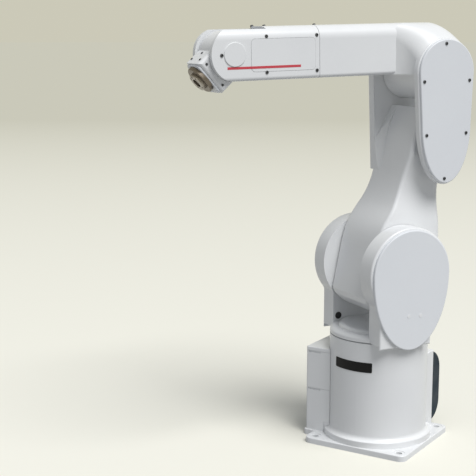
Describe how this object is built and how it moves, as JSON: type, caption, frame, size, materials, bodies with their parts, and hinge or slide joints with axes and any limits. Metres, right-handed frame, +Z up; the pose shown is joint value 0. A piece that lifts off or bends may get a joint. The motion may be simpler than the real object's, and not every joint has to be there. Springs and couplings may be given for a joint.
{
  "type": "industrial robot arm",
  "caption": "Articulated industrial robot arm on a square foot, with a round tower, forked shoulder, hanging elbow housing, rolling forearm, forked wrist and a small tool flange.",
  "frame": {"origin": "centre of the base's underside, on the arm's turning axis", "axes": "+X towards the front of the base, +Y towards its left side, +Z up"},
  "size_m": [0.5895, 0.4358, 0.9293],
  "materials": {
    "white_casting": "smooth white enamel on cast aluminium",
    "white_cover": "satin light grey moulded cover",
    "dark_cover": "dark blue-black moulded guard",
    "black_seal": "matt black",
    "black_connector": "satin black",
    "reducer_metal": "turned, oiled, brownish",
    "flange_metal": "turned steel"
  },
  "bodies": {
    "base": {"base_casting": "white_casting", "base_seal": "black_seal", "side_box_lower": "white_casting", "side_box_upper": "white_casting", "side_box_lid": "white_casting", "rear_box": "white_casting", "rear_cover": "dark_cover", "power_inlet": "black_connector", "signal_inlet": "black_connector"},
    "shoulder": {"shoulder_yoke": "white_casting", "shoulder_cover_left": "white_cover", "shoulder_cover_right": "white_cover"},
    "upper_arm": {"upper_arm": "white_casting", "elbow_cap_right": "white_cover", "arm_back_cover": "white_cover"},
    "elbow": {"elbow_housing": "white_casting", "elbow_cover_left": "white_cover", "roll_seal": "black_seal"},
    "forearm": {"forearm_front": "white_casting", "forearm_panel_left": "white_cover", "forearm_panel_right": "white_cover", "fork_cap_left": "white_cover", "fork_cap_right": "white_cover"},
    "wrist": {"wrist_housing": "white_casting", "wrist_head_plate": "white_cover"},
    "tool": {"reducer_disc": "reducer_metal", "tool_flange": "flange_metal"}
  },
  "joints": [
    {"name": "base_turn", "type": "hinge", "parent": "base", "child": "shoulder", "pos_m": [0, 0, 0.25], "axis": [0, 0, -1], "range_deg": [-271.4, 208.6]},
    {"name": "shoulder_swing", "type": "hinge", "parent": "shoulder", "child": "upper_arm", "pos_m": [0, 0, 0.4], "axis": [0.521, 0.8536, 0], "range_deg": [-98.2, 141.8]},
    {"name": "elbow_swing", "type": "hinge", "parent": "upper_arm", "child": "elbow", "pos_m": [-0.07593, 0.04635, 0.82581], "axis": [-0.521, -0.8536, 0], "range_deg": [-59.05, 102.95]},
    {"name": "forearm_roll", "type": "hinge", "parent": "elbow", "child": "forearm", "pos_m": [-0.07507, 0.04582, 0.8758], "axis": [0.8534, -0.5209, -0.0201], "range_deg": [-200, 200]},
    {"name": "wrist_bend", "type": "hinge", "parent": "forearm", "child": "wrist", "pos_m": [0.32602, -0.199, 0.86636], "axis": [0.521, 0.8536, 0], "range_deg": [-161, 79]},
    {"name": "tool_turn", "type": "hinge", "parent": "wrist", "child": "tool", "pos_m": [0.32602, -0.199, 0.86636], "axis": [0.6328, -0.3863, -0.6711], "range_deg": [-360, 360]}
  ]
}
